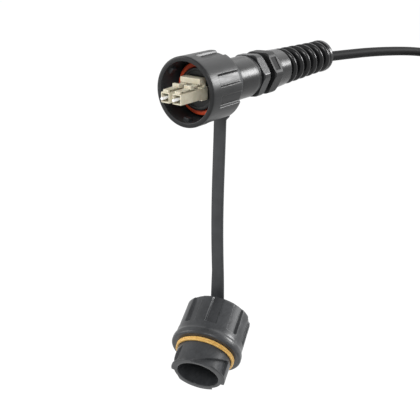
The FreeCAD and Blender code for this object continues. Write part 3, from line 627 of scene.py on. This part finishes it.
def connectors(prefix, place):
    """A pair of connectors, each a housing with its latch, a ferrule and the spring behind it."""
    for side, sign in (("left", -1), ("right", 1)):
        own_place = place @ Matrix.Translation((sign * HALF_PITCH, 0, 0))
        housing = Moulding(HOUSING_EDGE)
        housing.socket_block(HOUSING_HALF, OPENING_HALF, HOUSING_LENGTH, OPENING_DEPTH)
        housing.prism(LATCH_SIDE, -LATCH_HALF, LATCH_HALF)
        housing.prism(LATCH_LUG_SIDE, -LATCH_LUG_HALF, LATCH_LUG_HALF, LATCH_LUG_EDGE)
        housing.done(f"{prefix}housing_{side}", beige, "plug", "connector_beige",
                     [f"{prefix}lc_housing_{side}"], own_place)
        ferrule = eased([
            (0.0, FERRULE_FRONT, POINTED),
            (FERRULE_RADIUS, FERRULE_FRONT, 0.2),
            (FERRULE_RADIUS, FERRULE_REAR),
            (0.0, FERRULE_REAR, POINTED),
        ], 0.05)
        finished(f"{prefix}ferrule_skin_{side}", *turned(ferrule, 64), ceramic, f"{prefix}ferrule_{side}",
                 "ceramic", [f"{prefix}ferrule_{side}"], own_place, 50)
        ferrule_spring(prefix, side, own_place)


def near_clip():
    """The clip that holds the pair together, with the trigger over both latches."""
    wide = (-HALF_PITCH - HOUSING_HALF, HALF_PITCH + HOUSING_HALF)
    long = (CLIP_FRONT, CLIP_REAR)
    clip = Moulding(CLIP_EDGE)
    clip.block(wide, (TRIGGER_FRONT, TRIGGER_REAR), (TRIGGER_FOOT, TRIGGER_TOP), TRIGGER_EDGE)
    clip.block(wide, (TRIGGER_POST, TRIGGER_REAR), (CLIP_INNER, TRIGGER_TOP))
    clip.block(wide, long, (CLIP_INNER, CLIP_OUTER))
    clip.block((-CLIP_WEB_HALF, CLIP_WEB_HALF), long, (-CLIP_OUTER, CLIP_OUTER))
    clip.block(wide, long, (-CLIP_OUTER, -CLIP_INNER))
    clip.done("duplex_clip_skin", beige, "plug", "connector_beige", ["duplex_clip"], NEAR_PLACE)


# Cable gland and spiral bend relief

FLATS = 19.0
CORNERS = 10.5
HEX_FACE = 10.0
HEX_EDGE = 0.2
HEX_EASE = 0.04
GLAND_FLAT = math.radians(34.8)
GLAND_HEX_FROM = 9.0
GLAND_HEX_FRONT = 44.6
GLAND_HEX_REAR = 49.6
GLAND_BEVEL = 0.5
GLAND_PACE = 1.5
SPIGOT_FRONT = 33.5
SPIGOT_RADIUS = 6.85
SEAL_SEAT = 7.25
NECK_RADIUS = 7.6
NECK_REAR = 62.0
SOCKET_RADIUS = 5.7
SOCKET_FLOOR = 55.5
PASSAGE_RADIUS = 4.5
NUT_FLAT = math.radians(32.0)
NUT_FRONT = 53.5
NUT_HEX_REAR = 60.0
NUT_BORE = 7.75
NUT_BORE_REAR = 63.6
NUT_BEVEL_FRONT = 0.5
NUT_BEVEL_REAR = 0.6
NUT_HEX_FOOT = 9.9
NUT_HEX_OVERRUN = 0.6
NUT_TAPER_FRONT = 60.3
NUT_TAPER_RADIUS = 9.3
NUT_INSIDE = 6.0
NUT_PACE = 0.19
NUT_PLAIN_PACE = 1.5
INNER_PACE = 3.0
POCKET_MIDDLE = (NUT_FRONT + NUT_HEX_REAR) / 2
POCKET_HALF_LENGTH = 1.8
POCKET_HALF_WIDTH = 3.0
POCKET_DEPTH = 0.35
POCKET_WALL = 0.12
RELIEF_START = 69.5
RELIEF_START_RADIUS = 8.8
RELIEF_END = 106.0
RELIEF_END_RADIUS = 7.7
RELIEF_PITCH = 6.2
RELIEF_RIB = 3.5
RELIEF_CORE = 4.5
RELIEF_BORE = 2.9
RELIEF_BORE_FRONT = 66.5
RELIEF_BORE_REAR = 101.0
RELIEF_MOUTH = 3.6
RELIEF_OPENS = (RELIEF_START - 0.2, RELIEF_START + 1.2)
RELIEF_CLOSES = (RELIEF_END + 0.3, RELIEF_END - 0.9)
RIB_FULLNESS = 2.4
BEAD_RADIUS = 7.9
BEAD_FRONT = 106.5
BEAD_REAR = 109.0
MASK_EDGE = 0.1


def dull_hex(finish):
    """More on the nut's six flats, most on the floor of the pocket and nought elsewhere."""
    faced = finish.node("ShaderNodeVectorRotate", {"rotation_type": "Y_AXIS"},
                        {"Vector": finish.point(), "Angle": NUT_FLAT})
    out, along, across = (finish.node("ShaderNodeSeparateXYZ", {}, {0: faced}, axis) for axis in "XYZ")

    def within(amount, limit):
        return amount.between((limit + MASK_EDGE) * MM, (limit - MASK_EDGE) * MM)

    inside = within(finish.maths("ABSOLUTE", along - POCKET_MIDDLE * MM), POCKET_HALF_LENGTH)
    inside = inside * within(finish.maths("ABSOLUTE", across), POCKET_HALF_WIDTH)
    return inside * out.between(0, MM) * 0.5 + within(along, NUT_HEX_REAR) * 0.6


nut_black = moulded_black("nut_black", 0.003, 0.006, 0.25, 0.02, ROUND_AXIS, dull_place=dull_hex)


def six_sided(radius, turn, first):
    """A radius cut back to six flats, the middle of one of them at the first turn."""
    sixth = FULL_TURN / 6
    from_middle = (turn - first + sixth / 2) % sixth - sixth / 2
    return softly_less(radius, FLATS / 2 / np.cos(from_middle), HEX_EASE)


def gland_shape(radius, station, turn):
    return np.where(radius > GLAND_HEX_FROM, six_sided(radius, turn, GLAND_FLAT), radius)


def gland_body():
    outline = eased([
        (PASSAGE_RADIUS, SPIGOT_FRONT),
        (SPIGOT_RADIUS, SPIGOT_FRONT),
        (SPIGOT_RADIUS, BODY_REAR),
        (SEAL_SEAT, BODY_REAR),
        (SEAL_SEAT, GLAND_HEX_FRONT),
        (HEX_FACE, GLAND_HEX_FRONT, HEX_EDGE),
        (CORNERS, GLAND_HEX_FRONT + GLAND_BEVEL, HEX_EDGE),
        (CORNERS, GLAND_HEX_REAR - GLAND_BEVEL, HEX_EDGE),
        (HEX_FACE, GLAND_HEX_REAR, HEX_EDGE),
        (NECK_RADIUS, GLAND_HEX_REAR),
        (NECK_RADIUS, NECK_REAR, 0.5),
        (SOCKET_RADIUS, NECK_REAR),
        (SOCKET_RADIUS, SOCKET_FLOOR),
        (PASSAGE_RADIUS, SOCKET_FLOOR),
    ], 0.1, 4)
    dense = spaced(outline, lambda radius, station: GLAND_PACE)
    finished("gland_body_skin", *turned(dense, 360, gland_shape), gland_black, "plug", "gland_black",
             ["gland_body"], sharp=35)


def nut_shape(radius, station, turn):
    """Six flats with one bare shallow pocket, then the spiral groove of the bend relief."""
    outside = radius > NUT_INSIDE
    across = np.abs(around(turn, NUT_FLAT)) * FLATS / 2
    along = np.abs(station - POCKET_MIDDLE)
    from_pocket = np.maximum(across - POCKET_HALF_WIDTH, along - POCKET_HALF_LENGTH)
    pocket = step_up(POCKET_WALL, -POCKET_WALL, from_pocket)
    hexed = six_sided(radius, turn, NUT_FLAT) - POCKET_DEPTH * pocket
    result = np.where(outside & (station < NUT_HEX_REAR + NUT_HEX_OVERRUN), hexed, radius)

    phase = (station - RELIEF_START) / RELIEF_PITCH + turn / FULL_TURN
    from_rib = (phase - np.floor(phase)) * RELIEF_PITCH - RELIEF_PITCH + RELIEF_RIB / 2
    rib = np.clip(1 - np.abs(from_rib / (RELIEF_RIB / 2)) ** RIB_FULLNESS, 0, 1) ** 0.5
    open_end = step_up(*RELIEF_OPENS, station) * step_up(*RELIEF_CLOSES, station)
    grooved = radius - (radius - RELIEF_CORE) * open_end * (1 - rib)
    return np.where(outside & (station > RELIEF_START - 0.5), grooved, result)


def nut_pace(radius, station):
    if radius < NUT_INSIDE:
        return INNER_PACE
    return NUT_PACE if station < NUT_HEX_REAR or station > RELIEF_START - 1 else NUT_PLAIN_PACE


def gland_nut():
    outline = eased([
        (NUT_BORE, NUT_FRONT),
        (HEX_FACE, NUT_FRONT, HEX_EDGE),
        (CORNERS, NUT_FRONT + NUT_BEVEL_FRONT, HEX_EDGE),
        (CORNERS, NUT_HEX_REAR - NUT_BEVEL_REAR, HEX_EDGE),
        (NUT_HEX_FOOT, NUT_HEX_REAR, HEX_EDGE),
        (NUT_TAPER_RADIUS, NUT_TAPER_FRONT, 0.3),
        (RELIEF_START_RADIUS, RELIEF_START, 0.5),
        (RELIEF_END_RADIUS, RELIEF_END),
        (BEAD_RADIUS, BEAD_FRONT, 0.4),
        (BEAD_RADIUS, BEAD_REAR, 1.1),
        (RELIEF_MOUTH, BEAD_REAR, 0.3),
        (RELIEF_BORE, RELIEF_BORE_REAR),
        (RELIEF_BORE, RELIEF_BORE_FRONT),
        (SOCKET_RADIUS, NUT_BORE_REAR),
        (NUT_BORE, NUT_BORE_REAR),
    ], 0.15)
    finished("gland_nut_skin", *turned(spaced(outline, nut_pace), 240, nut_shape), nut_black, "plug",
             "nut_black", ["gland_nut"], sharp=50)


# Dust cap, with its nose at station 0 and its closed end at CAP_LENGTH

CAP_LENGTH = 34.2
CAP_END = 15.7
CAP_GRIP = 16.1
CAP_GRIP_START = 19.5
CAP_GRIPS = [38.5 + ninth * 40 for ninth in range(9)]
CAP_RIM = 16.85
CAP_RIM_FOOT = 16.3
CAP_RIM_FRONT = 12.9
CAP_RIM_REAR = 15.2
CAP_GRIP_FRONT = 16.6
CAP_NOSE = 12.9
CAP_SHOULDER = 12.2
CAP_BORE = 9.8
CAP_FLOOR = 30.0
CAP_INSIDE = 10.5
CAP_SKIN_FOOT = 13.0
CAP_SKIN_TOP = 13.6
CAP_PACE = 0.17
CAP_PLAIN_PACE = 1.2
CAP_TURN = Matrix.Rotation(math.radians(17.2), 4, "Z") @ Matrix.Rotation(math.radians(32.4), 4, "X")
CAP_BACK = (CAP_TURN @ ALONG).normalized()
CAP_UP = (CAP_TURN @ UP).normalized()
CAP_SIDE = (CAP_TURN @ ACROSS).normalized()
STRAP_FOOT = Vector((0, 24.8, -111.9))
CAP_PLACE = Matrix.Translation(STRAP_FOOT - CAP_BACK * CAP_LENGTH) @ CAP_TURN
CAP_SEAL = [
    (12.95, 10.2), (14.05, 10.2), (14.05, 10.9, 0.1), (13.7, 11.2, 0.05), (14.05, 11.5, 0.1), (14.05, 12.15),
    (12.95, 12.15),
]
TRACK_FLOOR = 11.4
TRACK_TURN = math.radians(94)
TRACK_ARC = math.radians(86)
TRACK_CLIMB = 8.4
TRACK_END = 9.2
TRACK_WIDTH = 3.9
TRACK_LIP = 0.9
TRACK_WALL = 0.16
RIVET_FRONT = 28.8
RIVET_REAR = 37.0
RIVET_NECK = 35.8
RIVET_RADIUS = 1.5
RIVET_HOLE = 1.55
RIVET_HEAD = 3.0


def track_mask(turn, station):
    """One inside the nose's three tracks, which are open at the front and climb behind a thin lip."""
    mask = 0 * (turn + station)
    for third in range(3):
        gone = around(TRACK_TURN + third * FULL_TURN / 3, turn)
        rear = TRACK_CLIMB * gone / TRACK_ARC
        front = np.minimum(rear - TRACK_WIDTH, TRACK_LIP)
        room = np.minimum(np.minimum(rear - station, station - front), (TRACK_ARC - gone) * CAP_NOSE)
        mask = np.maximum(mask, step_up(-TRACK_WALL, TRACK_WALL, room))
    return mask


def cap_shape(radius, station, turn):
    outer = step_up(CAP_SKIN_FOOT, CAP_SKIN_TOP, radius)
    grip = grip_mask(turn, station, CAP_GRIP, CAP_GRIP_START, CAP_GRIPS) * outer
    track = np.where(station < CAP_SHOULDER - 2, track_mask(turn, station), 0)
    radius = radius + (np.minimum(radius, CAP_END - GRIP_DEPTH) - radius) * grip
    return radius + (np.minimum(radius, TRACK_FLOOR) - radius) * track


def cap_pace(radius, station):
    if radius < CAP_INSIDE:
        return INNER_PACE
    return CAP_PACE if station < TRACK_END or abs(station - CAP_GRIP_START) < GRIP_REACH else CAP_PLAIN_PACE


def dust_cap():
    outline = eased([
        (CAP_BORE, 0),
        (CAP_NOSE, 0, 0.4),
        (CAP_NOSE, CAP_SHOULDER),
        (CAP_RIM_FOOT, CAP_SHOULDER),
        (CAP_RIM, CAP_RIM_FRONT, 0.5),
        (CAP_RIM, CAP_RIM_REAR, 1.4),
        (CAP_GRIP, CAP_GRIP_FRONT, 1.4),
        (CAP_END, CAP_LENGTH, 1.8),
        (RIVET_HOLE, CAP_LENGTH, 0.1),
        (RIVET_HOLE, CAP_FLOOR, 0.1),
        (CAP_BORE, CAP_FLOOR, 1.5),
    ], 0.3)
    finished("dust_cap_skin", *turned(spaced(outline, cap_pace), 600, cap_shape), cap_black, "cap",
             "cap_black", ["dust_cap"], CAP_PLACE, 60)
    finished("cap_seal_skin", *turned(eased(CAP_SEAL, 0.35), 240), seal_amber, "cap", "seal_amber",
             ["cap_seal"], CAP_PLACE)
    rivet = eased([
        (0.0, RIVET_FRONT, POINTED),
        (RIVET_HEAD, RIVET_FRONT, 0.4),
        (RIVET_HEAD, CAP_FLOOR),
        (RIVET_RADIUS, CAP_FLOOR),
        (RIVET_RADIUS, RIVET_NECK),
        (RIVET_HEAD, RIVET_NECK),
        (RIVET_HEAD, RIVET_REAR, 0.9),
        (0.0, RIVET_REAR, POINTED),
    ], 0.1)
    finished("cap_rivet_skin", *turned(rivet, 64), metal, "cap", "steel", ["cap_rivet"], CAP_PLACE, 50)


# Strap from the plug's groove to the cap's closed end

STRAP_TOP = Vector((0, 25.25, -BODY_RADIUS))
STRAP_HALF_WIDTH = 3.2
STRAP_THICKNESS = 1.4
STRAP_GAP = 0.1
STRAP_BEND = 6.0
STRAP_TWIST = 14.0
STRAP_BOW = 0.8
STRAP_ROOT = 15.6
STRAP_ROOT_EASE = 1.2
STRAP_ROOT_SPREAD = 1.8
STRAP_END = 2.2
COLLAR = [(8.4, 22.8), (10.8, 22.8, 0.5), (10.8, 27.7, 0.5), (8.4, 27.7)]
EYELET_BORE = 1.6
EYELET_RADIUS = 5.0
EYELET_EDGE = 0.4


def band_ring(middle, along, side, half_width, thickness):
    """The rounded section of a flat band across its run."""
    face = along.cross(side).normalized()
    side = face.cross(along).normalized()
    half = thickness / 2
    corners = [(-half_width, -half), (half_width, -half), (half_width, half), (-half_width, half)]
    return [middle + side * point[0] + face * point[1] for point in eased(corners, 0.3 * thickness, 4)]


def strap_ring(middle, along, side):
    """The strap's section, which is wider at its root on the collar."""
    root = step_up(STRAP_ROOT + STRAP_ROOT_EASE, STRAP_ROOT - STRAP_ROOT_EASE, -middle.z)
    return band_ring(middle, along, side, STRAP_HALF_WIDTH + STRAP_ROOT_SPREAD * root, STRAP_THICKNESS)


def tether_strap():
    eyelet = STRAP_FOOT + CAP_BACK * (STRAP_GAP + STRAP_THICKNESS / 2)
    corner = eyelet + CAP_UP * STRAP_BEND
    down = (corner - STRAP_TOP).normalized()
    bend_start = corner - down * (STRAP_BEND / 2)
    bend_end = corner - CAP_UP * (STRAP_BEND / 2)
    twist_start = bend_start - down * STRAP_TWIST

    rings = []
    for part in (*np.linspace(0, 0.1, 16), *np.linspace(0.1, 1, 28)[1:]):
        bow = ACROSS * (STRAP_BOW * math.sin(math.pi * part ** 1.5))
        rings.append(strap_ring(STRAP_TOP.lerp(twist_start, part) - bow, down, ACROSS))
    for part in np.linspace(0, 1, 16)[1:]:
        rings.append(strap_ring(twist_start.lerp(bend_start, part), down, ACROSS.lerp(CAP_SIDE, part)))
    for part in np.linspace(0, 1, 14)[1:]:
        run = (down * (1 - part) - CAP_UP * part).normalized()
        rings.append(strap_ring(curved(bend_start, corner, bend_end, part), run, CAP_SIDE))
    rings.append(strap_ring(eyelet + CAP_UP * STRAP_END, -CAP_UP, CAP_SIDE))
    finished("strap_run", *capped(rings), strap_black, "tether", "strap_black", ["tether_strap"], sharp=50)

    finished("strap_collar", *turned(eased(COLLAR, 0.2), 160), strap_black, "tether", "strap_black", [],
             sharp=50)

    washer = eased([
        (EYELET_BORE, STRAP_GAP),
        (EYELET_RADIUS, STRAP_GAP, EYELET_EDGE),
        (EYELET_RADIUS, STRAP_GAP + STRAP_THICKNESS, EYELET_EDGE),
        (EYELET_BORE, STRAP_GAP + STRAP_THICKNESS),
    ], 0.15)
    place = CAP_PLACE @ Matrix.Translation((0, CAP_LENGTH, 0))
    finished("strap_eyelet", *turned(washer, 128), strap_black, "tether", "strap_black", [], place, 50)


# Cable: the listed route, then the coil's turns and the drop to the far end

CABLE_ROUTE = [
    Vector((0, 81, 0)),
    Vector((0, 100, -0.2)),
    Vector((0, 112, -1.2)),
    Vector((0, 130, -2.7)),
    Vector((0, 165, -5.8)),
    Vector((0, 212, -12.0)),
    Vector((0, 244, -18.6)),
    Vector((0, 270, -26.8)),
]
CABLE_RADIUS = 2.5
COIL_RADIUS = 28.0
COIL_WHOLE_TURNS = 4
COIL_STRAND_PITCH = 5.1
COIL_STEP = 20
TAIL_LENGTH = 44.3
TAIL_POINTS = (0.2, 0.4, 0.7, 1.0)

entry_run = (CABLE_ROUTE[-1] - CABLE_ROUTE[-2]).normalized()
COIL_MIDDLE = CABLE_ROUTE[-1] + Vector((0, entry_run.z, -entry_run.y)) * COIL_RADIUS
COIL_ENTRY = 90 + math.degrees(math.atan2(entry_run.z, entry_run.y))
COIL_TURNED = COIL_WHOLE_TURNS * 360 + COIL_ENTRY
COIL_WIDTH = COIL_STRAND_PITCH * COIL_TURNED / 360
TAIL_TOP = COIL_MIDDLE + Vector((COIL_WIDTH, COIL_RADIUS, 0))


def cable():
    """One spline by route, coil and tail; it cuts inside its points, so the coil's spokes are lengthened."""
    steps = round(COIL_TURNED / COIL_STEP)
    pull = 0.75 + 0.25 * math.cos(math.radians(COIL_TURNED / steps))
    points = CABLE_ROUTE[:-1]
    for step in range(steps + 1):
        spoke = polar(COIL_RADIUS / pull, COIL_ENTRY - COIL_TURNED * step / steps)
        points.append(COIL_MIDDLE + Vector((COIL_WIDTH * step / steps, *spoke)))
    points += [TAIL_TOP - UP * (TAIL_LENGTH * drop) for drop in TAIL_POINTS]
    curve = bpy.data.curves.new("cable_jacket", "CURVE")
    curve.dimensions = "3D"
    curve.bevel_depth = CABLE_RADIUS * MM
    curve.bevel_resolution = 8
    curve.use_fill_caps = True
    spline = curve.splines.new("NURBS")
    spline.points.add(len(points) - 1)
    for knot, point in zip(spline.points, points):
        knot.co = (*(point * MM), 1)
    spline.order_u = 3
    spline.use_endpoint_u = True
    spline.resolution_u = 10
    curve.materials.append(jacket_black)
    piece = bpy.data.objects.new("cable_jacket", curve)
    scene.collection.objects.link(piece)
    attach(piece, "plug")
    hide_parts("cable", "cable_coil", "cable_tail")
    return piece


# Coil tie and the plain connector pair at the far end

TIE_WIDTH = 8.0
TIE_THICKNESS = 1.2
TIE_GAP = 0.25
TIE_CORNER = 2.4
TIE_TURN = -82
FAR_FRONT = -127.99
FAR_TURN = Matrix.Rotation(math.radians(90), 4, "X")
FAR_PLACE = Matrix.Translation((TAIL_TOP.x, TAIL_TOP.y, FAR_FRONT)) @ FAR_TURN
FAR_SHELL_FRONT = 14.0
FAR_SHELL_REAR = 32.0
FAR_SHELL_WALL = 0.8
FAR_SHELL_EDGE = 0.5
FAR_BOOT_REAR = 54.0
FAR_BOOT_BORE = 2.55
FAR_BOOT_FOOT = 4.2
FAR_BOOT_TIP = 3.3


def coil_tie():
    """A flat band round all the strands of the coil."""
    out = Vector((0, *polar(1, TIE_TURN)))
    along = Vector((0, -out.z, out.y))
    reach = CABLE_RADIUS + TIE_GAP + TIE_THICKNESS / 2
    far_side = COIL_WIDTH + reach
    loop = eased([(-reach, -reach), (far_side, -reach), (far_side, reach), (-reach, reach)], TIE_CORNER, 8)
    rings = []
    for index, point in enumerate(loop):
        step = loop[(index + 1) % len(loop)] - loop[index - 1]
        run = (ACROSS * step[0] + out * step[1]).normalized()
        middle = COIL_MIDDLE + ACROSS * point[0] + out * (COIL_RADIUS + point[1])
        rings.append(band_ring(middle, run, along, TIE_WIDTH / 2, TIE_THICKNESS))
    points = [point for ring in rings for point in ring]
    faces = grid_faces(len(rings), len(rings[0]))
    return finished("coil_tie_band", points, faces, tie_black, "plug", "tie_black", ["coil_tie"], sharp=50)


def far_end():
    connectors("far_", FAR_PLACE)
    half_width = HALF_PITCH + HOUSING_HALF + FAR_SHELL_WALL
    half_height = HOUSING_HALF + FAR_SHELL_WALL
    shell = Moulding(FAR_SHELL_EDGE)
    shell.block((-half_width, half_width), (FAR_SHELL_FRONT, FAR_SHELL_REAR), (-half_height, half_height))
    shell.done("far_shell_skin", beige, "plug", "connector_beige", ["far_shell"], FAR_PLACE)
    boot = eased([
        (FAR_BOOT_BORE, FAR_SHELL_REAR),
        (FAR_BOOT_FOOT, FAR_SHELL_REAR, 0.3),
        (FAR_BOOT_TIP, FAR_BOOT_REAR, 0.5),
        (FAR_BOOT_BORE, FAR_BOOT_REAR),
    ], 0.1)
    finished("far_boot_skin", *turned(boot, 96), tie_black, "plug", "boot_black", ["far_boot"], FAR_PLACE, 50)


coupling_ring()
plug_body()
connectors("", NEAR_PLACE)
near_clip()
gland_body()
gland_nut()
dust_cap()
tether_strap()
jacket = cable()
tie = coil_tie()
far_end()

# Solids that stay as they are, with their finishes
KEPT = {
    "ring_retainer": metal,
    "connector_carrier": body_black,
    "gland_bush": rubber_black,
    "fibre_lead_left": lead_yellow,
    "fibre_lead_right": lead_yellow,
}
for prefix in ("", "far_"):
    for side in ("left", "right"):
        for piece in ("ferrule_flange", "rear_post"):
            KEPT[f"{prefix}{piece}_{side}"] = metal
for name, material in KEPT.items():
    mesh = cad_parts[name].data
    mesh.materials.clear()
    mesh.materials.append(material)

# Stage: a pale floor well below the hanging cap, white surroundings and soft lamps
WHITE = (1, 1, 1, 1)
FLOOR = -0.45
FLOOR_HALF = 6
FLOOR_GLOW = 1.06
FLOOR_GLOW_SHARE = 0.92
FILL = 0.5

floor_mesh = bpy.data.meshes.new("floor")
floor_corners = [
    (x * FLOOR_HALF, y * FLOOR_HALF, FLOOR) for x, y in ((-1, -1), (1, -1), (1, 1), (-1, 1))
]
floor_mesh.from_pydata(floor_corners, [], [(0, 1, 2, 3)])
floor = bpy.data.objects.new("floor", floor_mesh)
scene.collection.objects.link(floor)
pale = Finish("pale_floor", Roughness=0.9, Base_Color=(0.9, 0.9, 0.9, 1))
glow = pale.node("ShaderNodeEmission", {}, {"Color": WHITE, "Strength": FLOOR_GLOW})
plain = Wire(pale, pale.shader.outputs[0])
mixed = pale.node("ShaderNodeMixShader", {}, {0: pale.seen() * FLOOR_GLOW_SHARE, 1: plain, 2: glow})
pale.join(mixed, pale.tree.nodes["Material Output"].inputs["Surface"])
floor_mesh.materials.append(pale.material)

world = bpy.data.worlds.new("surroundings")
world.use_nodes = True
scene.world = world
background = world.node_tree.nodes["Background"]
surroundings = Nodes(world.node_tree)
surroundings.join(WHITE, background.inputs["Color"])
surroundings.join(surroundings.seen() * (1 - FILL) + FILL, background.inputs["Strength"])


def soft_lamp(name, place, aim, width, height, power):
    """A rectangular lamp of a size in metres and a power in watts, turned to its aim."""
    lamp = bpy.data.lights.new(name, "AREA")
    lamp.shape = "RECTANGLE"
    lamp.size = width
    lamp.size_y = height
    lamp.energy = power
    holder = bpy.data.objects.new(name, lamp)
    holder.location = place
    holder.rotation_euler = (Vector(aim) - Vector(place)).to_track_quat("-Z", "Y").to_euler()
    scene.collection.objects.link(holder)


soft_lamp("front_lamp", (0.56, -0.76, 0.60), (0, 0.04, -0.03), 0.32, 0.32, 6.5)
soft_lamp("side_lamp", (1.37, 2.04, 0.80), (0, 0.04, 0), 0.80, 0.80, 58)
soft_lamp("back_lamp", (-0.05, 0.85, 0.75), (0, 0.04, 0), 0.9, 0.7, 2.5)
soft_lamp("left_lamp", (-0.80, -0.55, 0.25), (0, 0, -0.08), 0.5, 0.8, 6)
